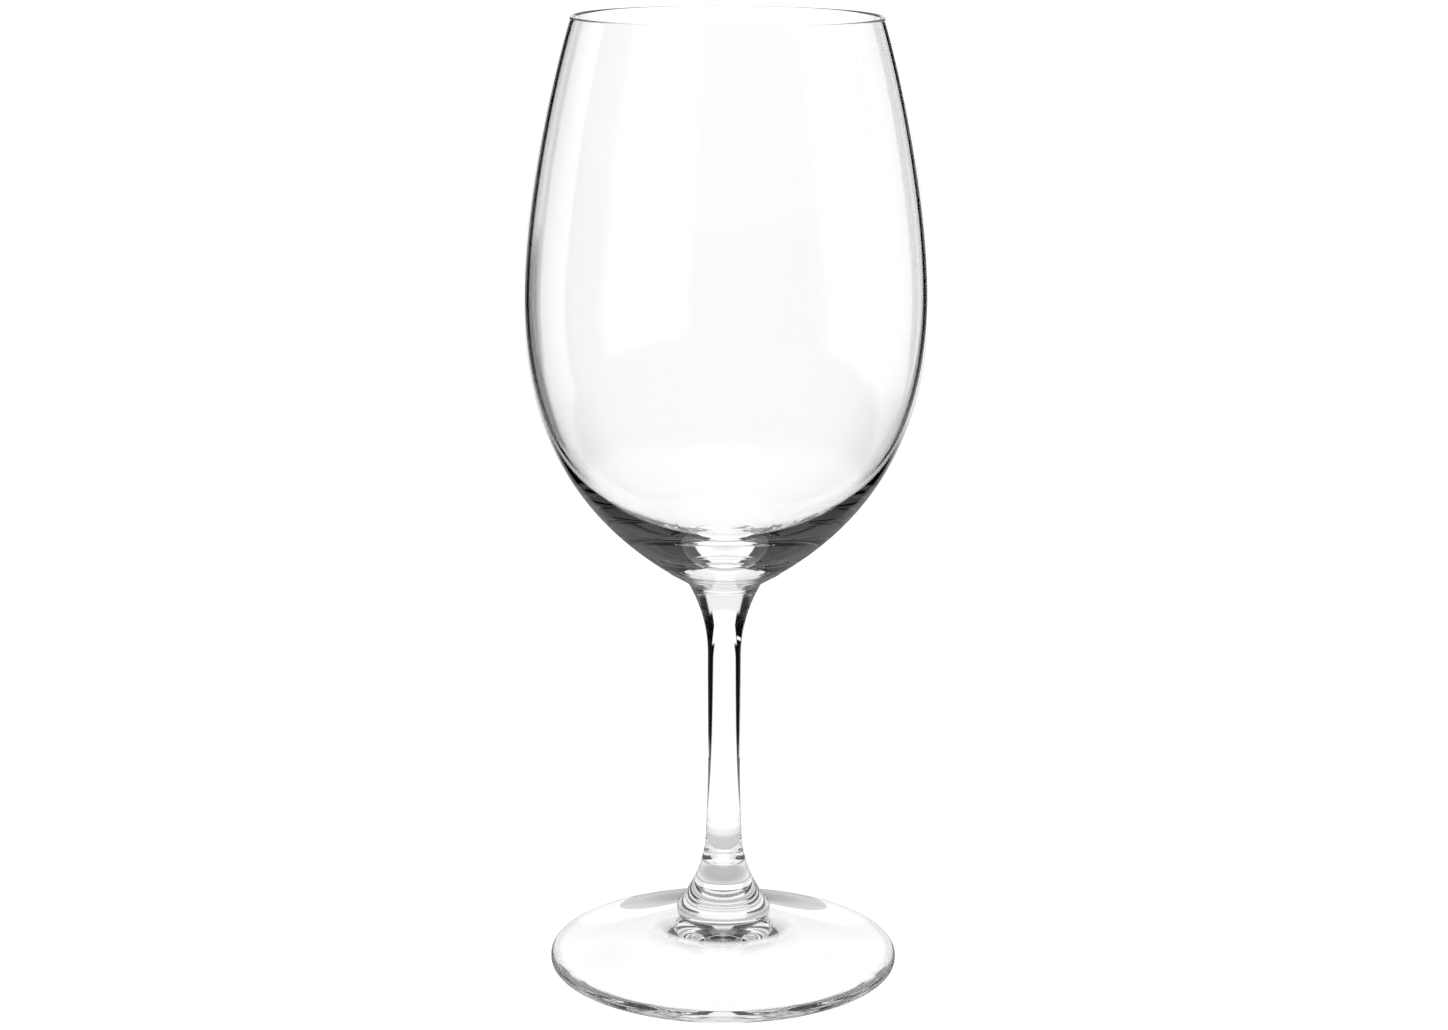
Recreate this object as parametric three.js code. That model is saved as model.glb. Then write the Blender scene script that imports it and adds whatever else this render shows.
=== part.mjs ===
import * as THREE from 'three';

// A stemmed wine glass, in millimetres, +Z up, standing on z = 0 with its axis on Z.
// It is made of glass pieces fused end to end while hot: a blown bowl, a drawn stem
// and a pressed foot. Each is a solid turned about the axis from its own outline,
// whose points are (distance from the axis, height above the table).

// Heights of the pieces
const overallHeight = 220; // table to rim
const bowlHeight = 128.6; // bowl's fused underside to rim
const footHeight = 24.7; // table to the foot's fused top
const fuseGap = 0.3; // clearance left at each fused joint

// Bowl
const rimDiameter = 69.6;
const bellyDiameter = 91;
const bellyHeight = 65.1; // bowl's fused underside to its widest point
const rimLean = THREE.MathUtils.degToRad(17.1); // the wall's lean inwards at the rim
const baseLean = THREE.MathUtils.degToRad(29.8); // the wall's rise above level at the joint
const rimWall = 1.1;
const bellyWall = 1.25;
const baseThickness = 9.1; // glass under the middle of the cavity

// Stem
const jointDiameter = 16.4; // where the stem meets the bowl
const shaftTopDiameter = 7.75;
const shaftWaistDiameter = 6.8; // what the shaft's curve is drawn in towards
const shaftFootDiameter = 8.25;
const topFlareRadius = 34; // hollow curve that spreads up to the bowl
const footFlareRadius = 29.2; // hollow curve that spreads down over the foot

// Foot
const footDiameter = 81;
const edgeThickness = 3;
const edgeRound = 1.2;
const restWidth = 3.2; // flat ring that the glass stands on
const bossDiameter = 21.4; // where the flare ends in a rounded lip
const bossHeight = 13.9; // table to the end of the flare
const lipRound = 0.9;
const bossStep = 1.9; // drop from the end of the flare to the foot's slope
const undersideRise = 7.2; // table to the middle of the hollow underside
const edgeSlope = THREE.MathUtils.degToRad(12); // slope of the foot's top by its edge
const rootSlope = THREE.MathUtils.degToRad(21); // slope of the foot's top by the boss

// How far each curve runs straight before it turns, as a share of its rise or its reach
const shoulderFullness = { rim: 0.268, belly: 0.297 };
const baseFullness = { belly: 0.482, joint: 0.75 };
const cavityFullness = { belly: 0.636, middle: 0.592 };
const undersideFullness = 0.45;
const shaftFullness = 0.35;

// Steps that the curved outlines are drawn in, and facets round the axis
const curveSteps = 12;
const flareSteps = 8;
const roundSteps = 4;
const wideFacets = 48;
const stemFacets = 32;

const point = (radius, height) => new THREE.Vector2(radius, height);

const bezier = (...points) => new THREE.CubicBezierCurve(...points).getPoints(curveSteps);

const arc = (centre, radius, from, to, steps) =>
  new THREE.EllipseCurve(centre.x, centre.y, radius, radius, from, to, to < from).getPoints(steps);

// Where the pieces meet
const bowlBottom = overallHeight - bowlHeight;
const stemTop = bowlBottom - fuseGap;
const stemBottom = footHeight + fuseGap;

// A hollow flare grows out of the shaft along an arc that starts upright
const flareSweep = (radius, growth) => Math.acos(1 - growth / radius);

const topSweep = flareSweep(topFlareRadius, (jointDiameter - shaftTopDiameter) / 2);
const topFlareCentre = point(
  shaftTopDiameter / 2 + topFlareRadius,
  stemTop - topFlareRadius * Math.sin(topSweep),
);
const footSweep = flareSweep(footFlareRadius, (bossDiameter - shaftFootDiameter) / 2);
const footFlareCentre = point(
  shaftFootDiameter / 2 + footFlareRadius,
  bossHeight + footFlareRadius * Math.sin(footSweep),
);
const footFlareAngle = (height) => Math.PI + Math.asin((footFlareCentre.y - height) / footFlareRadius);

function bowlOutline() {
  const rimRadius = rimDiameter / 2;
  const bellyRadius = bellyDiameter / 2;
  const jointRadius = jointDiameter / 2;
  const lipHeight = overallHeight - rimWall / 2;
  const widest = bowlBottom + bellyHeight;
  const shoulderRise = lipHeight - widest;
  const cavityBottom = bowlBottom + baseThickness;

  const baseReach = (bellyRadius - jointRadius) * baseFullness.joint;
  const base = bezier(
    point(jointRadius, bowlBottom),
    point(jointRadius + baseReach * Math.cos(baseLean), bowlBottom + baseReach * Math.sin(baseLean)),
    point(bellyRadius, widest - bellyHeight * baseFullness.belly),
    point(bellyRadius, widest),
  );
  const shoulder = (rimInset, bellyInset) => {
    const top = rimRadius - rimInset;
    const belly = bellyRadius - bellyInset;
    const reach = shoulderRise * shoulderFullness.rim;
    return bezier(
      point(belly, widest),
      point(belly, widest + shoulderRise * shoulderFullness.belly),
      point(top + reach * Math.sin(rimLean), lipHeight - reach * Math.cos(rimLean)),
      point(top, lipHeight),
    );
  };
  const lip = arc(point(rimRadius - rimWall / 2, lipHeight), rimWall / 2, 0, Math.PI, roundSteps);
  const cavityRadius = bellyRadius - bellyWall;
  const cavityDepth = widest - cavityBottom;
  const cavity = bezier(
    point(cavityRadius, widest),
    point(cavityRadius, widest - cavityDepth * cavityFullness.belly),
    point(cavityRadius * cavityFullness.middle, cavityBottom),
    point(0, cavityBottom),
  );
  return [
    point(0, bowlBottom),
    ...base,
    ...shoulder(0, 0),
    ...lip,
    ...shoulder(rimWall, bellyWall).reverse(),
    ...cavity,
  ];
}

function stemOutline() {
  const footFlare = arc(
    footFlareCentre,
    footFlareRadius,
    footFlareAngle(stemBottom),
    Math.PI,
    flareSteps,
  );
  const shaftRise = topFlareCentre.y - footFlareCentre.y;
  const shaft = bezier(
    point(shaftFootDiameter / 2, footFlareCentre.y),
    point(shaftWaistDiameter / 2, footFlareCentre.y + shaftRise * shaftFullness),
    point(shaftTopDiameter / 2, topFlareCentre.y - shaftRise * shaftFullness),
    point(shaftTopDiameter / 2, topFlareCentre.y),
  );
  const topFlare = arc(topFlareCentre, topFlareRadius, Math.PI, Math.PI - topSweep, flareSteps);
  return [point(0, stemBottom), ...footFlare, ...shaft, ...topFlare, point(0, stemTop)];
}

function footOutline() {
  const footRadius = footDiameter / 2;
  const restOuter = footRadius - edgeRound;
  const restInner = restOuter - restWidth;
  const underside = bezier(
    point(0, undersideRise),
    point(restInner * undersideFullness, undersideRise),
    point(restInner * (1 - undersideFullness), undersideRise * (1 - undersideFullness)),
    point(restInner, 0),
  );
  const lowerEdge = arc(point(restOuter, edgeRound), edgeRound, -Math.PI / 2, 0, roundSteps);
  const upperEdgeCentre = point(restOuter, edgeThickness - edgeRound);
  const upperEdge = arc(upperEdgeCentre, edgeRound, 0, Math.PI / 2 - edgeSlope, roundSteps);
  const slopeStart = upperEdge[roundSteps];

  const lipCentre = point(
    bossDiameter / 2 - lipRound * Math.cos(footSweep),
    bossHeight - lipRound * Math.sin(footSweep),
  );
  const lip = arc(lipCentre, lipRound, 0, footSweep, roundSteps);
  const root = point(lipCentre.x + lipRound, bossHeight - bossStep);
  const slopeReach = (slopeStart.x - root.x) / 3;
  const slope = bezier(
    slopeStart,
    point(slopeStart.x - slopeReach, slopeStart.y + slopeReach * Math.tan(edgeSlope)),
    point(root.x + slopeReach, root.y - slopeReach * Math.tan(rootSlope)),
    root,
  );
  const flare = arc(
    footFlareCentre,
    footFlareRadius,
    Math.PI + footSweep,
    footFlareAngle(footHeight),
    flareSteps,
  );
  return [...underside, ...lowerEdge, ...upperEdge, ...slope, ...lip, ...flare, point(0, footHeight)];
}

// Turns an outline about the axis, leaving out points that repeat the one before
function turned(name, outline, facets, colour) {
  const profile = outline.filter((p, i) => i === 0 || p.distanceTo(outline[i - 1]) > 1e-4);
  const geometry = new THREE.LatheGeometry(profile, facets);
  const glass = new THREE.MeshStandardMaterial({ color: colour, roughness: 0.02, metalness: 0 });
  glass.transparent = true;
  glass.opacity = 0.35;
  const mesh = new THREE.Mesh(geometry, glass);
  mesh.name = name;
  mesh.rotation.x = Math.PI / 2;
  return mesh;
}

const wineGlass = new THREE.Group();
wineGlass.add(turned('bowl', bowlOutline(), wideFacets, 0xf4f7f6));
wineGlass.add(turned('stem', stemOutline(), stemFacets, 0xeef3f2));
wineGlass.add(turned('foot', footOutline(), wideFacets, 0xe9f0ee));

export default wineGlass;
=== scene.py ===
"""The looks of a stemmed wine glass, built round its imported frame. Metres, +Z up, axis on Z."""

import logging
import math
from collections.abc import Sequence
from dataclasses import dataclass, field
from enum import Enum

import bpy
from mathutils import Matrix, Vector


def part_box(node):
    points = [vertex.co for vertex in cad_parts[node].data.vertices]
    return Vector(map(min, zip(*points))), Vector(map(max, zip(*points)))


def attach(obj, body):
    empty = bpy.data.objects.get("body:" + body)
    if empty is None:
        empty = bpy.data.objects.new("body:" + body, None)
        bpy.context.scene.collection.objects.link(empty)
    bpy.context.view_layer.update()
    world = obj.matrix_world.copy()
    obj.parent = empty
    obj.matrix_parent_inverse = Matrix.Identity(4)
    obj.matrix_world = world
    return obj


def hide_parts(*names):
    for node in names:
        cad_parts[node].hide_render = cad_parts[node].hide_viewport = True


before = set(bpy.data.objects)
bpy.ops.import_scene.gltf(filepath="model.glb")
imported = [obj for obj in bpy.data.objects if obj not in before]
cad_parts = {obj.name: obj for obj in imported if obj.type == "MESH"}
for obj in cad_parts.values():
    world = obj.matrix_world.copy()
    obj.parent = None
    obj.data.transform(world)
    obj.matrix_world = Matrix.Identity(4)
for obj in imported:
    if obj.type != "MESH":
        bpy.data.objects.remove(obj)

MM = 0.001
AROUND = 192  # facets round the axis of every turned piece
HAIR = 0.00001  # clearance between two fused faces, so that they never coincide
SHARP = math.radians(40)  # an edge that turns more than this stays crisp
LEVEL = 0.999  # a face whose normal stands at least this upright is flat
QUARTER = math.pi / 2
SEAM_STEPS = 6  # stretches in the small round edge beside a fused face
FAR = 100.0  # how far off the walls of the room are taken to be
HALF_TURN = 180.0
DEGREES = math.degrees(1.0)

Point = tuple[float, float]

log = logging.getLogger("wine_glass")


class Slot(Enum):
    """The record's material slots."""

    BOWL = "blown_bowl_glass"
    STEM = "drawn_stem_glass"
    FOOT = "pressed_foot_glass"


def linear(code: str) -> tuple[float, float, float, float]:
    """Turns an sRGB hex colour into linear light.

    Args:
        code: the colour as "#RRGGBB".

    Returns:
        Red, green, blue and an alpha of 1.
    """
    parts = [int(code[i : i + 2], 16) / 255 for i in (1, 3, 5)]
    light = [c / 12.92 if c <= 0.04045 else ((c + 0.055) / 1.055) ** 2.4 for c in parts]  # sRGB
    return (light[0], light[1], light[2], 1.0)


def add_node(
    tree: bpy.types.NodeTree,
    kind: str,
    settings: dict[str, object] | None = None,
    inputs: dict[str | int, object] | None = None,
) -> bpy.types.Node:
    """Adds a node, sets it and links it.

    Args:
        tree: the node tree that gets the node.
        kind: the node's type name.
        settings: properties of the node itself.
        inputs: a value or an output socket for each input, by name or number.

    Returns:
        The new node.
    """
    node = tree.nodes.new(kind)
    for name, value in (settings or {}).items():
        setattr(node, name, value)
    for name, value in (inputs or {}).items():
        if isinstance(value, bpy.types.NodeSocket):
            tree.links.new(value, node.inputs[name])
        else:
            node.inputs[name].default_value = value
    return node


# Outlines: lists of (distance from the axis, height)


def bezier(
    a: Point, b: Point, c: Point, d: Point, steps: int, ease: float = 1.0
) -> list[Point]:
    """Samples a cubic curve.

    Args:
        a: where it starts.
        b: what it starts towards.
        c: what it arrives from.
        d: where it ends.
        steps: how many stretches it is drawn in.
        ease: over 1 crowds the points towards its start.

    Returns:
        The points, both ends included.
    """
    points = []
    for i in range(steps + 1):
        t = (i / steps) ** ease
        weights = ((1 - t) ** 3, 3 * t * (1 - t) ** 2, 3 * t * t * (1 - t), t**3)
        corners = (a, b, c, d)
        points.append(tuple(sum(w * p[k] for w, p in zip(weights, corners)) for k in (0, 1)))
    return points


def arc(centre: Point, radius: float, start: float, end: float, steps: int) -> list[Point]:
    """Samples a circular arc.

    Args:
        centre: the arc's centre.
        radius: its radius.
        start: the angle that it starts at, in radians from straight outwards.
        end: the angle that it ends at.
        steps: how many stretches it is drawn in.

    Returns:
        The points, both ends included.
    """
    angles = [start + (end - start) * i / steps for i in range(steps + 1)]
    return [(centre[0] + radius * math.cos(a), centre[1] + radius * math.sin(a)) for a in angles]


def turn(name: str, outline: Sequence[Point]) -> bpy.types.Object:
    """Turns an outline about the axis into a closed solid of revolution.

    Args:
        name: the new object's name.
        outline: points from the axis round the section and back to the axis.

    Returns:
        The object, smooth, with its faces pointing out and its poles closed.
    """
    path = [outline[0]]
    for here in outline[1:]:
        if math.dist(here, path[-1]) > HAIR / 2:
            path.append(here)
    bpy.ops.object.select_all(action="DESELECT")
    start = (path[0][0], 0.0, path[0][1])
    bpy.ops.mesh.primitive_plane_add(size=MM, location=start)
    piece = bpy.context.object
    piece.name = piece.data.name = name
    bpy.ops.object.transform_apply(location=True, rotation=True, scale=True)
    bpy.ops.object.mode_set(mode="EDIT")
    bpy.ops.mesh.select_all(action="SELECT")
    bpy.ops.mesh.merge(type="CENTER")
    for before, here in zip(path, path[1:]):
        step = (here[0] - before[0], 0.0, here[1] - before[1])
        bpy.ops.mesh.extrude_vertices_move(TRANSFORM_OT_translate={"value": step})
    bpy.ops.mesh.select_all(action="SELECT")
    bpy.ops.mesh.spin(steps=AROUND, angle=2 * math.pi, center=(0, 0, 0), axis=(0, 0, 1))
    bpy.ops.mesh.select_all(action="SELECT")
    bpy.ops.mesh.remove_doubles(threshold=HAIR / 5)
    bpy.ops.mesh.normals_make_consistent(inside=False)
    bpy.ops.object.mode_set(mode="OBJECT")
    bpy.ops.object.shade_smooth_by_angle(angle=SHARP)
    return piece


def cover_fused_faces(
    piece: bpy.types.Object, seam: bpy.types.Material, heights: Sequence[float]
) -> None:
    """Gives a piece's fused faces the seam's material.

    Args:
        piece: a turned piece.
        seam: the material of a fused face.
        heights: the heights of the flat faces that are fused to a neighbour.
    """
    piece.data.materials.append(seam)
    bpy.context.view_layer.objects.active = piece
    piece.active_material_index = len(piece.data.materials) - 1
    bpy.ops.object.mode_set(mode="EDIT")
    bpy.ops.mesh.select_mode(type="FACE")
    bpy.ops.mesh.select_all(action="DESELECT")
    bpy.ops.object.mode_set(mode="OBJECT")
    for face in piece.data.polygons:
        near = any(abs(face.center.z - height) < HAIR / 2 for height in heights)
        face.select = near and abs(face.normal.z) > LEVEL
    bpy.ops.object.mode_set(mode="EDIT")
    bpy.ops.object.material_slot_assign()
    bpy.ops.mesh.select_mode(type="VERT")
    bpy.ops.object.mode_set(mode="OBJECT")


@dataclass(frozen=True)
class ClearGlass:
    """Colourless soda-lime glass: clear through and through, with a bright, hard surface.

    Its edges go dark because they bend the view round to the dark sides of the room, and the
    waves that its making left in the surface make its mirrored edges waver very slightly.
    """

    name: str
    tint: str = "#FFFFFF"
    ior: float = 1.52
    roughness: float = 0.0  # a fire-polished surface scatters nothing
    wave_size: float = 30 * MM  # from crest to crest
    wave_height: float = 0.01 * MM
    squash: tuple[float, float, float] = (1.0, 1.0, 1.0)  # waves are long where this is small
    wave_detail: float = 1.0
    wave_roughness: float = 0.4

    def material(self) -> bpy.types.Material:
        """Builds the material."""
        made = bpy.data.materials.new(self.name)
        made.use_nodes = True
        tree = made.node_tree
        tree.nodes.clear()
        place = add_node(tree, "ShaderNodeTexCoord")
        stretched = add_node(
            tree,
            "ShaderNodeMapping",
            {"vector_type": "POINT"},
            {"Vector": place.outputs["Object"], "Scale": self.squash},
        )
        waves = add_node(
            tree,
            "ShaderNodeTexNoise",
            {"noise_dimensions": "3D"},
            {
                "Vector": stretched.outputs["Vector"],
                "Scale": 1 / self.wave_size,
                "Detail": self.wave_detail,
                "Roughness": self.wave_roughness,
            },
        )
        bump = add_node(
            tree,
            "ShaderNodeBump",
            None,
            {"Height": waves.outputs["Fac"], "Distance": self.wave_height, "Strength": 1.0},
        )
        glass = add_node(
            tree,
            "ShaderNodeBsdfPrincipled",
            None,
            {
                "Base Color": linear(self.tint),
                "Roughness": self.roughness,
                "IOR": self.ior,
                "Transmission Weight": 1.0,
                "Normal": bump.outputs["Normal"],
            },
        )
        add_node(tree, "ShaderNodeOutputMaterial", None, {"Surface": glass.outputs["BSDF"]})
        return made


@dataclass(frozen=True)
class FusedSeam:
    """The face where two pieces are melted together: the glass runs through it unbroken."""

    name: str = "fused_seam"

    def material(self) -> bpy.types.Material:
        """Builds the material, which lets every ray through unbent."""
        made = bpy.data.materials.new(self.name)
        made.use_nodes = True
        tree = made.node_tree
        tree.nodes.clear()
        clear = add_node(tree, "ShaderNodeBsdfTransparent", None, {"Color": linear("#FFFFFF")})
        add_node(tree, "ShaderNodeOutputMaterial", None, {"Surface": clear.outputs["BSDF"]})
        return made


@dataclass
class Bowl:
    """The blown bowl: egg-shaped, thin at its rim and thick at its bottom."""

    bottom: float  # height of the fused face
    top: float
    joint_radius: float
    belly_radius: float
    rim_radius: float = 34.8 * MM
    belly_rise: float = 65.1 * MM
    rim_lean: float = math.radians(17.1)
    base_lean: float = math.radians(29.8)
    rim_wall: float = 1.1 * MM
    belly_wall: float = 1.25 * MM
    base_thickness: float = 9.1 * MM
    seam_round: float = 0.2 * MM
    base_reach: float = 0.75  # how far the flat start of the underside pulls, of its width
    base_swell: float = 0.482  # and how far the belly pulls down, of its rise
    base_steps: int = 140
    base_ease: float = 1.6
    cavity_flat: float = 0.592  # the same two pulls for the inside
    cavity_swell: float = 0.636
    cavity_steps: int = 70
    shoulder_swell: float = 0.297  # how far the belly pulls up the wall, of the shoulder's rise
    shoulder_reach: float = 0.268  # and how far the lip pulls down
    shoulder_steps: int = 50
    lip_steps: int = 16
    ring_rise: float = 3.0 * MM  # a faint ring that the tool left round the bottom
    ring_height: float = 0.15 * MM
    ring_width: float = 0.35 * MM
    # Blown in a mould: slow, hardly seen waves.
    finish: ClearGlass = field(default_factory=lambda: ClearGlass("mould_blown_soda_lime_glass"))

    def outline(self) -> list[Point]:
        """Draws the section: under the bowl, up the outside, over the lip and down the inside."""
        lip = self.top - self.rim_wall / 2
        widest = self.bottom + self.belly_rise
        rise = lip - widest
        reach = (self.belly_radius - self.joint_radius) * self.base_reach
        base = bezier(
            (self.joint_radius, self.bottom + self.seam_round),
            (
                self.joint_radius + reach * math.cos(self.base_lean),
                self.bottom + self.seam_round + reach * math.sin(self.base_lean),
            ),
            (self.belly_radius, widest - self.belly_rise * self.base_swell),
            (self.belly_radius, widest),
            self.base_steps,
            self.base_ease,
        )
        base = [(r + self.ridge(z), z) for r, z in base]
        groove = arc(
            (self.joint_radius - self.seam_round, self.bottom + self.seam_round),
            self.seam_round,
            -QUARTER,
            0,
            SEAM_STEPS,
        )
        lip_centre = (self.rim_radius - self.rim_wall / 2, lip)
        cavity_radius = self.belly_radius - self.belly_wall
        cavity_bottom = self.bottom + self.base_thickness
        depth = widest - cavity_bottom
        cavity = bezier(
            (0.0, cavity_bottom),
            (cavity_radius * self.cavity_flat, cavity_bottom),
            (cavity_radius, widest - depth * self.cavity_swell),
            (cavity_radius, widest),
            self.cavity_steps,
        )
        return [
            (0.0, self.bottom),
            *groove,
            *base,
            *self.shoulder(self.belly_radius, self.rim_radius, widest, rise),
            *arc(lip_centre, self.rim_wall / 2, 0, math.pi, self.lip_steps),
            *reversed(
                self.shoulder(cavity_radius, self.rim_radius - self.rim_wall, widest, rise)
            ),
            *reversed(cavity),
        ]

    def ridge(self, height: float) -> float:
        """Says how far the tool's ring stands out at a height."""
        off = (height - self.bottom - self.ring_rise) / self.ring_width
        return self.ring_height * math.exp(-(off**2))

    def shoulder(self, belly: float, rim: float, widest: float, rise: float) -> list[Point]:
        """Draws one face of the wall from the belly up to the lip.

        Args:
            belly: the face's radius at the belly.
            rim: its radius at the lip.
            widest: the belly's height.
            rise: the height from the belly to the lip.

        Returns:
            The face's points, from the belly up.
        """
        reach = rise * self.shoulder_reach
        out, down = reach * math.sin(self.rim_lean), reach * math.cos(self.rim_lean)
        return bezier(
            (belly, widest),
            (belly, widest + rise * self.shoulder_swell),
            (rim + out, widest + rise - down),
            (rim, widest + rise),
            self.shoulder_steps,
        )

    def build(self, seam: bpy.types.Material) -> bpy.types.Object:
        """Models and dresses the bowl.

        Args:
            seam: the material of the fused face.

        Returns:
            The finished bowl.
        """
        piece = turn("blown_bowl", self.outline())
        piece.data.materials.append(self.finish.material())
        cover_fused_faces(piece, seam, (self.bottom,))
        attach(piece, "root")
        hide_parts("bowl")
        return piece


@dataclass
class Stem:
    """The drawn stem: a slim, slightly waisted rod that flares at both ends."""

    bottom: float
    top: float
    joint_radius: float
    shaft_top_radius: float = 3.875 * MM
    shaft_foot_radius: float = 4.125 * MM
    waist_radius: float = 3.4 * MM
    top_flare: float = 34 * MM
    foot_flare: float = 29.2 * MM
    boss_radius: float = 10.7 * MM
    boss_height: float = 13.9 * MM
    seam_round: float = 0.2 * MM
    waist_pull: float = 0.35  # how far each end of the shaft pulls, of its length
    lower_steps: int = 40
    shaft_steps: int = 60
    upper_steps: int = 50
    # Drawn out hot: shallow waves stretched along its length, which hardly show.
    finish: ClearGlass = field(
        default_factory=lambda: ClearGlass(
            "drawn_soda_lime_glass",
            wave_size=5 * MM,
            wave_height=0.002 * MM,
            squash=(1.0, 1.0, 0.08),
        )
    )

    def flare_centre(self) -> Point:
        """Finds the centre of the hollow curve that the stem and the foot's boss share."""
        sweep = math.acos(1 - (self.boss_radius - self.shaft_foot_radius) / self.foot_flare)
        return (
            self.shaft_foot_radius + self.foot_flare,
            self.boss_height + self.foot_flare * math.sin(sweep),
        )

    def outline(self) -> list[Point]:
        """Draws the section from the middle of the lower fused face up to the upper one."""
        low = self.flare_centre()
        cut = self.seam_round
        start = math.pi + math.asin((low[1] - self.bottom - cut) / self.foot_flare)
        lower = arc(low, self.foot_flare, start, math.pi, self.lower_steps)
        sweep = math.acos(1 - (self.joint_radius - self.shaft_top_radius) / self.top_flare)
        high = (
            self.shaft_top_radius + self.top_flare,
            self.top - cut - self.top_flare * math.sin(sweep),
        )
        upper = arc(high, self.top_flare, math.pi, math.pi - sweep, self.upper_steps)
        pull = (high[1] - low[1]) * self.waist_pull
        shaft = bezier(
            (self.shaft_foot_radius, low[1]),
            (self.waist_radius, low[1] + pull),
            (self.shaft_top_radius, high[1] - pull),
            (self.shaft_top_radius, high[1]),
            self.shaft_steps,
        )
        foot_centre = (lower[0][0] - cut, self.bottom + cut)
        foot_edge = arc(foot_centre, cut, -QUARTER, 0, SEAM_STEPS)
        top_centre = (self.joint_radius - cut, self.top - cut)
        top_edge = arc(top_centre, cut, 0, QUARTER, SEAM_STEPS)
        return [
            (0.0, self.bottom),
            *foot_edge,
            *lower,
            *shaft,
            *upper,
            *top_edge,
            (0.0, self.top),
        ]

    def build(self, seam: bpy.types.Material) -> bpy.types.Object:
        """Models and dresses the stem.

        Args:
            seam: the material of the fused faces.

        Returns:
            The finished stem.
        """
        piece = turn("drawn_stem", self.outline())
        piece.data.materials.append(self.finish.material())
        cover_fused_faces(piece, seam, (self.bottom, self.top))
        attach(piece, "root")
        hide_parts("stem")
        return piece


@dataclass
class Foot:
    """The pressed foot: a low cone with a boss that the stem stands on, hollow underneath."""

    radius: float
    top: float
    stem: Stem
    edge_thickness: float = 3 * MM
    edge_round: float = 1.2 * MM
    rest_width: float = 3.2 * MM
    lip_round: float = 0.9 * MM
    boss_step: float = 1.9 * MM
    underside_rise: float = 7.2 * MM
    edge_slope: float = math.radians(12)
    root_slope: float = math.radians(21)
    hollow_flat: float = 0.45  # how far out the hollow's roof stays flat, of its radius
    hollow_turn: Point = (0.55, 0.55)  # where it heads from down to the rest, of radius and rise
    long_steps: int = 70  # stretches in the hollow, and in the slope
    boss_steps: int = 60
    lip_steps: int = 16
    edge_steps: int = 12
    # Pressed in a mould: short, shallow waves, which hardly show.
    finish: ClearGlass = field(
        default_factory=lambda: ClearGlass(
            "pressed_soda_lime_glass", wave_size=14 * MM, wave_height=0.006 * MM
        )
    )

    def outline(self) -> list[Point]:
        """Draws the section: out along the underside, round the edge, up the slope and boss."""
        rest_outer = self.radius - self.edge_round
        rest_inner = rest_outer - self.rest_width
        rise = self.underside_rise
        underside = bezier(
            (0.0, rise),
            (rest_inner * self.hollow_flat, rise),
            (rest_inner * self.hollow_turn[0], rise * self.hollow_turn[1]),
            (rest_inner, 0.0),
            self.long_steps,
        )
        edge, steps = self.edge_round, self.edge_steps
        lower_edge = arc((rest_outer, edge), edge, -QUARTER, 0, steps)
        upper_centre = (rest_outer, self.edge_thickness - edge)
        upper_edge = arc(upper_centre, edge, 0, QUARTER - self.edge_slope, steps)
        centre = self.stem.flare_centre()
        flare = self.stem.foot_flare
        sweep = math.asin((centre[1] - self.stem.boss_height) / flare)
        cut = self.stem.seam_round
        end = math.asin((centre[1] - self.top + cut) / flare)
        boss = arc(centre, flare, math.pi + sweep, math.pi + end, self.boss_steps)
        lip_centre = (
            self.stem.boss_radius - self.lip_round * math.cos(sweep),
            self.stem.boss_height - self.lip_round * math.sin(sweep),
        )
        lip = arc(lip_centre, self.lip_round, 0, sweep, self.lip_steps)
        root = (lip_centre[0] + self.lip_round, self.stem.boss_height - self.boss_step)
        slope_start = upper_edge[-1]
        reach = (slope_start[0] - root[0]) / 3
        slope = bezier(
            slope_start,
            (slope_start[0] - reach, slope_start[1] + reach * math.tan(self.edge_slope)),
            (root[0] + reach, root[1] - reach * math.tan(self.root_slope)),
            root,
            self.long_steps,
        )
        top_edge = arc((boss[-1][0] - cut, self.top - cut), cut, 0, QUARTER, SEAM_STEPS)
        return [
            *underside,
            *lower_edge,
            *upper_edge,
            *slope,
            *lip,
            *boss,
            *top_edge,
            (0.0, self.top),
        ]

    def build(self, seam: bpy.types.Material) -> bpy.types.Object:
        """Models and dresses the foot.

        Args:
            seam: the material of the fused face.

        Returns:
            The finished foot.
        """
        piece = turn("pressed_foot", self.outline())
        piece.data.materials.append(self.finish.material())
        cover_fused_faces(piece, seam, (self.top,))
        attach(piece, "root")
        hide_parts("foot")
        return piece


@dataclass(frozen=True)
class Stretch:
    """A stretch of the room: where it starts, from left to right, and how bright it is."""

    start: float
    light: float


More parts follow.
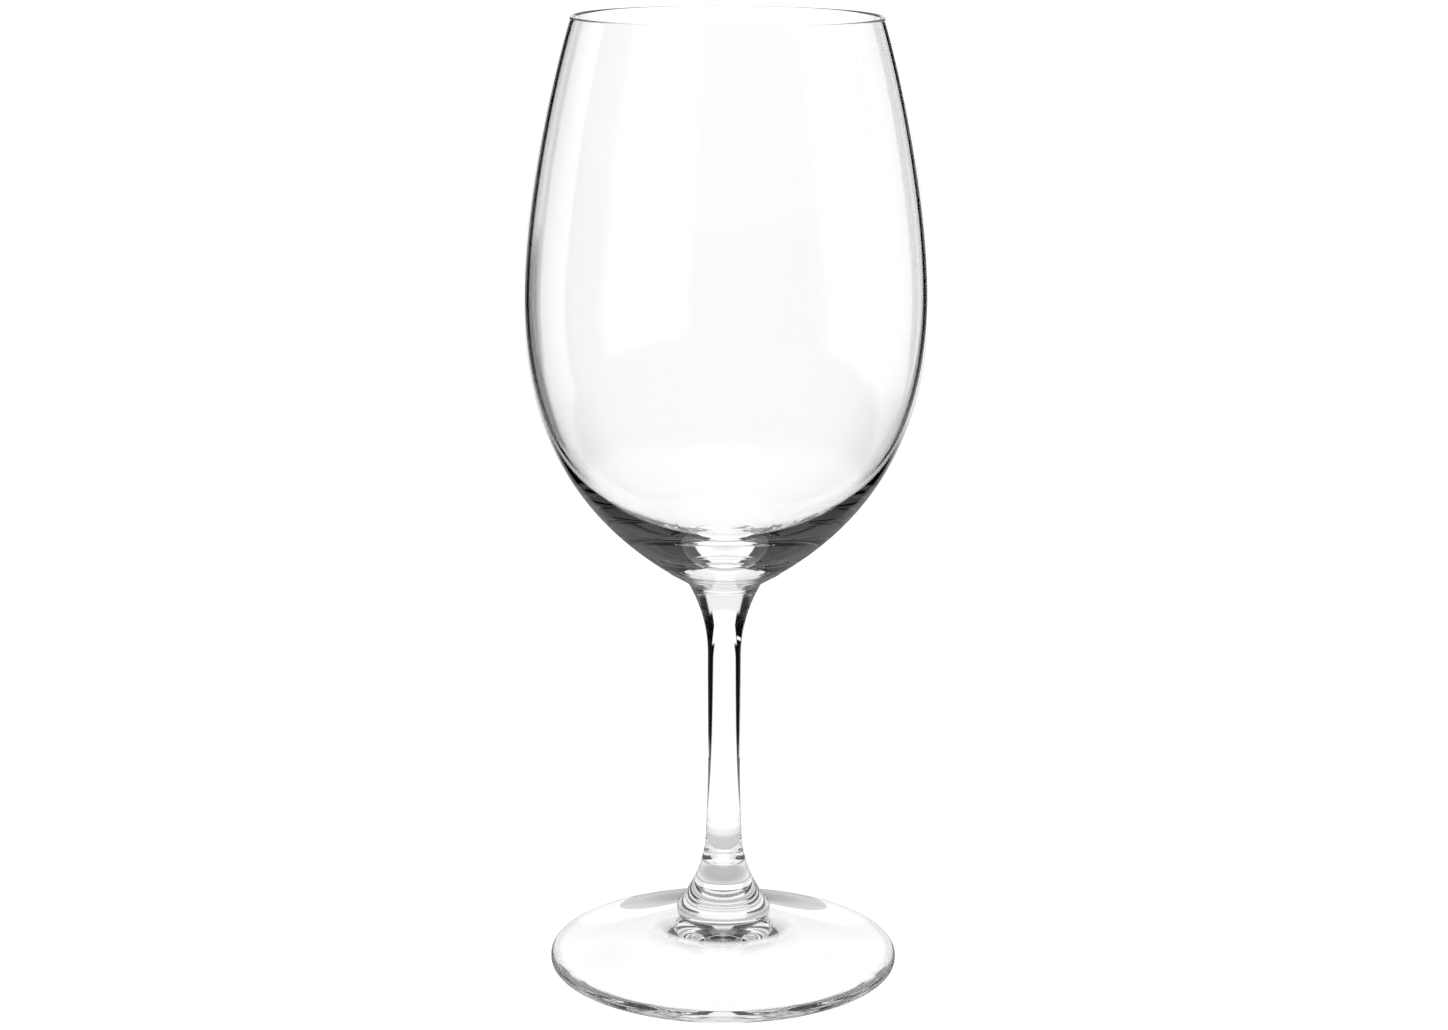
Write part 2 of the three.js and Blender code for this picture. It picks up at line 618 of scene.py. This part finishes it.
@dataclass
class Studio:
    """A white table and room, in which the glass alone sees dark stretches at both sides and
    painted shadow round its foot.
    """

    floor_size: float = 60.0
    floor_drop: float = 0.1 * MM  # keeps the table top clear of the foot
    white: float = 1.12
    fan_root: float = 0.28  # the strips fan out from this far in front of the glass
    fan_least: float = 0.3  # and no slope is taken nearer to that root than this
    fan_half: float = 2.0  # the widest slope that the fan covers
    soft: float = 0.02  # slope over which one strip turns into the next
    mirrored_near: tuple[Stretch, ...] = (  # what the surface mirrors, by slope, left to right
        Stretch(-2.0, 0.0),
        Stretch(-0.27, 0.25),
        Stretch(0.275, 0.0),
    )
    mirrored_far: tuple[Stretch, ...] = (
        Stretch(-2.0, 0.4),
        Stretch(-0.62, 0.0),
        Stretch(-0.296, 1.12),
        Stretch(0.327, 0.0),
        Stretch(0.56, 0.95),
    )
    mirror_turn: Point = (0.28, 0.48)  # distances at which far takes over from near
    bent_near: tuple[Stretch, ...] = (  # what solid glass bends into view
        Stretch(-2.0, 0.0),
        Stretch(-0.27, 1.12),
        Stretch(0.275, 0.0),
    )
    bent_far: tuple[Stretch, ...] = (
        Stretch(-2.0, 0.0),
        Stretch(-0.39, 1.12),
        Stretch(0.40, 0.0),
    )
    bent_turn: Point = (0.38, 0.50)
    through: tuple[Stretch, ...] = (  # what shows through both walls of the bowl
        Stretch(-2.0, 0.0),
        Stretch(-0.177, 1.12),
        Stretch(0.286, 0.0),
    )
    through_start: Point = (0.32, 0.37)  # distances over which its strips come in
    through_end: Point = (1.50, 1.15)  # and over which they go out again
    through_half: float = 29.0  # bearing beyond which they stop
    turns: tuple[Stretch, ...] = (  # to the sides and in front, by bearing in degrees
        Stretch(-180, 0.05),
        Stretch(-115, 1.12),
        Stretch(-64, 0.05),
        Stretch(100, 1.12),
        Stretch(155, 0.05),
    )
    turns_soft: float = 12.0
    turns_reach: Point = (0.14, 0.19)  # distances over which they start
    front: float = 0.12  # what the surface mirrors of the front of the room
    front_from: float = 100.0  # bearing at which the front of the room starts
    side_from: float = 64.0  # bearing at which the sides of the room start
    side_reach: float = 0.15  # and their distance
    card_bearing: float = -45.0  # a white card on the left behind the glass
    card_half: Point = (15.0, 10.0)  # bearings off its middle over which it comes in
    card_start: Point = (0.59, 0.64)
    card_end: Point = (0.91, 0.86)
    shade: float = 0.14  # how much painted shadow of the foot darkens the table's glow behind it
    shade_reach: Point = (0.055, 0.03)
    shade_back: Point = (-0.01, 0.03)
    painted_rim_shadow: float = 0.42  # and how much painted shadow round the foot's edge
    rim_outer: Point = (0.09, 0.065)
    rim_inner: Point = (0.036, 0.046)
    rim_back: Point = (-0.055, -0.02)
    painted_core_shadow: float = 0.50  # and how much painted shadow under the stem
    core_reach: Point = (0.020, 0.008)
    sky: tuple[Stretch, ...] = (  # over the walls, by bearing in degrees
        Stretch(-180, 0.1),
        Stretch(-78, 0.03),
        Stretch(-27, 0.95),
        Stretch(29, 0.03),
        Stretch(76, 0.1),
    )
    folded_sky: tuple[Stretch, ...] = (  # the same for light folded back inside the glass
        Stretch(-180, 0.05),
        Stretch(-16, 0.95),
        Stretch(17, 0.05),
    )
    sky_soft: float = 4.0
    mirrored_sky: float = 0.7
    sky_rise: Point = (0.11, 0.18)  # sines of the heights at which the walls turn into the sky
    ceiling: float = 0.3
    ceiling_rise: Point = (0.82, 0.92)  # and at which the sky turns into the ceiling
    solid_from: float = 0.5  # crossings of a surface that mean solid glass
    walls_from: float = 3.5  # and that mean both walls of the bowl
    folded_from: float = 0.5  # mirrorings inside the glass that mean folded light
    lens: float = 74.6
    sensor: float = 36.0
    eye: tuple[float, float, float] = (-0.00027, -0.6663, 0.2639)
    eye_tilt: float = math.radians(76.78)
    eye_roll: float = math.radians(0.268)

    def camera(self) -> None:
        """Sets up the camera, which looks slightly down at the glass from across the table."""
        view = bpy.data.cameras.new("camera")
        view.lens = self.lens
        view.sensor_width = self.sensor
        camera = bpy.data.objects.new("camera", view)
        bpy.context.scene.collection.objects.link(camera)
        tilt = Matrix.Rotation(self.eye_tilt, 4, "X")
        roll = Matrix.Rotation(self.eye_roll, 4, "Z")
        camera.matrix_world = Matrix.Translation(self.eye) @ tilt @ roll
        bpy.context.scene.camera = camera

    def ramp(
        self,
        tree: bpy.types.NodeTree,
        place: bpy.types.NodeSocket,
        stretches: Sequence[Stretch],
        half: float,
        soft: float,
    ) -> bpy.types.NodeSocket:
        """Says how bright the room is at a place.

        Args:
            tree: the node tree to add to.
            place: the place, from -half to half.
            stretches: the stretches of the room, in order from -half to half.
            half: half the range of the places.
            soft: the width over which one stretch turns into the next.

        Returns:
            The socket that holds the brightness.
        """
        peak = max(s.light for s in stretches)
        reach = {"Value": place, "From Min": -half, "From Max": half}
        scaled = add_node(tree, "ShaderNodeMapRange", None, reach)
        ramp = add_node(tree, "ShaderNodeValToRGB", None, {"Fac": scaled.outputs["Result"]})
        stops = ramp.color_ramp.elements
        stops[0].position = 0.0
        stops[1].position = 1.0
        stops[0].color = (stretches[0].light / peak,) * 3 + (1.0,)
        stops[1].color = (stretches[-1].light / peak,) * 3 + (1.0,)
        for before, after in zip(stretches, stretches[1:]):
            for light, side in ((before.light, -0.5), (after.light, 0.5)):
                stop = stops.new((after.start + side * soft + half) / (2 * half))
                stop.color = (light / peak,) * 3 + (1.0,)
        return self.math(tree, "MULTIPLY", ramp.outputs["Color"], peak)

    def fan(
        self,
        tree: bpy.types.NodeTree,
        slope: bpy.types.NodeSocket,
        stretches: Sequence[Stretch],
    ) -> bpy.types.NodeSocket:
        """Says how bright a strip of the fan is at a slope."""
        return self.ramp(tree, slope, stretches, self.fan_half, self.soft)

    def math(
        self,
        tree: bpy.types.NodeTree,
        operation: str,
        first: bpy.types.NodeSocket | float,
        second: bpy.types.NodeSocket | float = 0.0,
    ) -> bpy.types.NodeSocket:
        """Adds one sum to a node tree and returns its result."""
        terms = {0: first, 1: second}
        return add_node(tree, "ShaderNodeMath", {"operation": operation}, terms).outputs[0]

    def times(
        self, tree: bpy.types.NodeTree, *factors: bpy.types.NodeSocket | float
    ) -> bpy.types.NodeSocket:
        """Multiplies numbers in a node tree and returns the product."""
        product = factors[0]
        for factor in factors[1:]:
            product = self.math(tree, "MULTIPLY", product, factor)
        return product

    def step(
        self, tree: bpy.types.NodeTree, value: bpy.types.NodeSocket | float, low: float, high: float
    ) -> bpy.types.NodeSocket:
        """Adds a soft step from 0 at low to 1 at high and returns its result."""
        kind = {"interpolation_type": "SMOOTHSTEP"}
        inputs = {"Value": value, "From Min": low, "From Max": high}
        return add_node(tree, "ShaderNodeMapRange", kind, inputs).outputs["Result"]

    def mix(
        self,
        tree: bpy.types.NodeTree,
        factor: bpy.types.NodeSocket,
        first: bpy.types.NodeSocket | float,
        second: bpy.types.NodeSocket | float,
    ) -> bpy.types.NodeSocket:
        """Adds a mix of two numbers to a node tree and returns its result."""
        terms = {0: factor, 2: first, 3: second}
        return add_node(tree, "ShaderNodeMix", {"data_type": "FLOAT"}, terms).outputs[0]

    def bearing(
        self,
        tree: bpy.types.NodeTree,
        right: bpy.types.NodeSocket,
        back: bpy.types.NodeSocket,
    ) -> bpy.types.NodeSocket:
        """Turns a place into its bearing, in degrees clockwise from straight behind the glass."""
        return self.math(tree, "MULTIPLY", self.math(tree, "ARCTAN2", right, back), DEGREES)

    def painted_shadows(
        self,
        tree: bpy.types.NodeTree,
        distance: bpy.types.NodeSocket | float,
        back: bpy.types.NodeSocket,
    ) -> tuple[bpy.types.NodeSocket, bpy.types.NodeSocket]:
        """Says how much of the table's light is left under the shadows painted for the foot and the
        stem, which a glowing table cannot take from them.

        Args:
            tree: the node tree to add to.
            distance: how far the place is from the glass's axis.
            back: how far it lies behind the axis.

        Returns:
            The sockets that hold what is left, without and with the painted shadow under the stem.
        """
        # painted shadow on the table behind the foot
        foot = self.times(
            tree,
            self.step(tree, distance, *self.shade_reach),
            self.step(tree, back, *self.shade_back),
            -self.shade,
        )
        # painted shadow round the foot's edge
        rim = self.times(
            tree,
            self.step(tree, distance, *self.rim_outer),
            self.step(tree, distance, *self.rim_inner),
            self.step(tree, back, *self.rim_back),
            -self.painted_rim_shadow,
        )
        # painted shadow under the stem
        core = self.times(tree, self.step(tree, distance, *self.core_reach), -self.painted_core_shadow)
        left = self.math(tree, "ADD", self.math(tree, "ADD", foot, rim), 1.0)
        return left, self.math(tree, "ADD", left, core)

    def card(
        self,
        tree: bpy.types.NodeTree,
        bearing: bpy.types.NodeSocket,
        distance: bpy.types.NodeSocket | float,
    ) -> bpy.types.NodeSocket:
        """Says where the white card lies that keeps the mouth of the bowl clear."""
        swing = self.math(tree, "SUBTRACT", bearing, self.card_bearing)
        return self.times(
            tree,
            self.step(tree, self.math(tree, "ABSOLUTE", swing), *self.card_half),
            self.step(tree, distance, *self.card_start),
            self.step(tree, distance, *self.card_end),
        )

    def light_from(
        self,
        tree: bpy.types.NodeTree,
        place: bpy.types.NodeSocket,
        distance: bpy.types.NodeSocket | float,
    ) -> tuple[bpy.types.NodeSocket, ...]:
        """Says how much light comes from a place on the table top or the walls.

        Args:
            tree: the node tree to add to.
            place: the place, or the direction for the walls.
            distance: how far it is from the glass's axis.

        Returns:
            The sockets that hold the brightness for mirrored, bent, folded and through light.
        """
        split = add_node(tree, "ShaderNodeSeparateXYZ", None, {"Vector": place})
        right, back = split.outputs["X"], split.outputs["Y"]
        bearing = self.bearing(tree, right, back)
        off = self.math(tree, "ABSOLUTE", bearing)
        in_front = self.math(tree, "GREATER_THAN", off, self.front_from)
        aside = self.math(tree, "GREATER_THAN", off, self.side_from)
        ahead = self.math(tree, "ADD", back, self.fan_root)
        ahead = self.math(tree, "MAXIMUM", ahead, self.fan_least)
        slope = self.math(tree, "DIVIDE", right, ahead)
        away = self.step(tree, distance, *self.turns_reach)
        turns = self.ramp(tree, bearing, self.turns, HALF_TURN, self.turns_soft)
        turns = self.mix(tree, away, self.white, turns)
        # painted shadows of the foot and the stem, put into the table's glow
        left_in_painted_shadow, left_in_painted_core_shadow = self.painted_shadows(tree, distance, back)

        mirrored = self.mix(
            tree,
            self.step(tree, distance, *self.mirror_turn),
            self.fan(tree, slope, self.mirrored_near),
            self.fan(tree, slope, self.mirrored_far),
        )
        mirrored = self.mix(tree, in_front, mirrored, self.front)

        near = self.fan(tree, slope, self.bent_near)
        bent_far = self.fan(tree, slope, self.bent_far)
        bent = self.mix(tree, self.step(tree, distance, *self.bent_turn), near, bent_far)
        beyond = self.math(tree, "GREATER_THAN", distance, self.side_reach)
        turned = self.math(tree, "MAXIMUM", self.times(tree, aside, beyond), in_front)
        bent = self.mix(tree, turned, bent, turns)
        bent = self.mix(tree, self.card(tree, bearing, distance), bent, self.white)

        folded = self.mix(tree, in_front, near, self.front)
        folded = self.mix(tree, away, self.white, folded)

        facing = self.times(
            tree,
            self.step(tree, distance, *self.through_start),
            self.step(tree, distance, *self.through_end),
            self.math(tree, "LESS_THAN", off, self.through_half),
        )
        through = self.mix(tree, facing, self.white, self.fan(tree, slope, self.through))
        through = self.mix(tree, aside, through, turns)
        # mirrored, bent and folded light is darkened by the painted shadows
        return (
            self.times(tree, mirrored, left_in_painted_shadow),
            self.times(tree, bent, left_in_painted_shadow),
            self.times(tree, folded, left_in_painted_core_shadow),
            through,
        )

    def seen(
        self, tree: bpy.types.NodeTree, lights: tuple[bpy.types.NodeSocket, ...]
    ) -> bpy.types.NodeSocket:
        """Picks the brightness by how the light came.

        Args:
            tree: the node tree to add to.
            lights: the brightness for light that the outside of the glass mirrors, that solid
                glass bends, that was also folded back inside the glass, and that went in and
                out through two thin walls.

        Returns:
            The socket that holds the brightness.
        """
        mirrored, bent, folded, through = lights
        path = add_node(tree, "ShaderNodeLightPath")
        crossings = path.outputs["Transmission Depth"]
        solid = self.math(tree, "GREATER_THAN", crossings, self.solid_from)
        walls = self.math(tree, "GREATER_THAN", crossings, self.walls_from)
        turned = self.math(tree, "GREATER_THAN", path.outputs["Glossy Depth"], self.folded_from)
        inside = self.mix(tree, solid, mirrored, self.mix(tree, turned, bent, folded))
        inside = self.mix(tree, walls, inside, through)
        return self.mix(tree, path.outputs["Is Camera Ray"], inside, self.white)

    def floor(self) -> None:
        """Lays the table top, which glows white and carries the painted shadows round the foot."""
        bpy.ops.object.select_all(action="DESELECT")
        level = (0, 0, -self.floor_drop)
        bpy.ops.mesh.primitive_plane_add(size=self.floor_size, location=level)
        top = bpy.context.object
        top.name = "table_top"
        # A glowing top takes no real shadow, so the foot's and the stem's shadows are painted into
        # its glow.
        made = bpy.data.materials.new("glowing_table_with_painted_shadow")
        made.use_nodes = True
        tree = made.node_tree
        tree.nodes.clear()
        place = add_node(tree, "ShaderNodeTexCoord").outputs["Object"]
        distance = add_node(tree, "ShaderNodeVectorMath", {"operation": "LENGTH"}, {0: place})
        light = self.seen(tree, self.light_from(tree, place, distance.outputs["Value"]))
        shine = {"Color": linear("#FFFFFF"), "Strength": light}
        glow = add_node(tree, "ShaderNodeEmission", None, shine)
        surface = {"Surface": glow.outputs["Emission"]}
        add_node(tree, "ShaderNodeOutputMaterial", None, surface)
        top.data.materials.append(made)

    def room(self) -> None:
        """Lights the room: white and dark stretches of wall under a dim ceiling."""
        world = bpy.data.worlds.new("studio")
        bpy.context.scene.world = world
        world.use_nodes = True
        tree = world.node_tree
        tree.nodes.clear()
        way = add_node(tree, "ShaderNodeTexCoord").outputs["Generated"]
        stretch = {0: way, "Scale": FAR}
        far = add_node(tree, "ShaderNodeVectorMath", {"operation": "SCALE"}, stretch)
        split = add_node(tree, "ShaderNodeSeparateXYZ", None, {"Vector": way})
        bearing = self.bearing(tree, split.outputs["X"], split.outputs["Y"])
        over = self.step(tree, split.outputs["Z"], *self.sky_rise)
        ceiling = self.step(tree, split.outputs["Z"], *self.ceiling_rise)
        wide = self.ramp(tree, bearing, self.sky, HALF_TURN, self.sky_soft)
        narrow = self.ramp(tree, bearing, self.folded_sky, HALF_TURN, self.sky_soft)
        walls = self.light_from(tree, far.outputs["Vector"], FAR)
        lights = []
        for wall, sky in zip(walls, (self.mirrored_sky, wide, narrow, wide)):
            lights.append(self.mix(tree, ceiling, self.mix(tree, over, wall, sky), self.ceiling))
        shine = {"Color": linear("#FFFFFF"), "Strength": self.seen(tree, tuple(lights))}
        back = add_node(tree, "ShaderNodeBackground", None, shine)
        add_node(tree, "ShaderNodeOutputWorld", None, {"Surface": back.outputs["Background"]})

    def build(self) -> None:
        """Sets up everything round the glass."""
        self.camera()
        self.floor()
        self.room()
        scene = bpy.context.scene
        scene.view_settings.view_transform = "Standard"
        scene.cycles.max_bounces = 32
        scene.cycles.glossy_bounces = 24
        scene.cycles.transmission_bounces = 32
        scene.cycles.transparent_max_bounces = 32


def main() -> None:
    """Builds the studio and the glass's pieces in order."""
    logging.basicConfig(level=logging.INFO, format="%(name)s: %(message)s")
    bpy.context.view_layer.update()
    bowl_low, bowl_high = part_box("bowl")
    stem_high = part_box("stem")[1]
    foot_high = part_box("foot")[1]
    Studio().build()
    seam = FusedSeam().material()
    joint = stem_high.x
    stem = Stem(bottom=foot_high.z + HAIR, top=bowl_low.z - HAIR, joint_radius=joint)
    bowl = Bowl(
        bottom=bowl_low.z, top=bowl_high.z, joint_radius=joint, belly_radius=bowl_high.x
    )
    foot = Foot(radius=foot_high.x, top=foot_high.z, stem=stem)
    for part in (bowl, stem, foot):
        piece = part.build(seam)
        log.info("%s: %d faces", piece.name, len(piece.data.polygons))


if __name__ == "__main__":
    main()
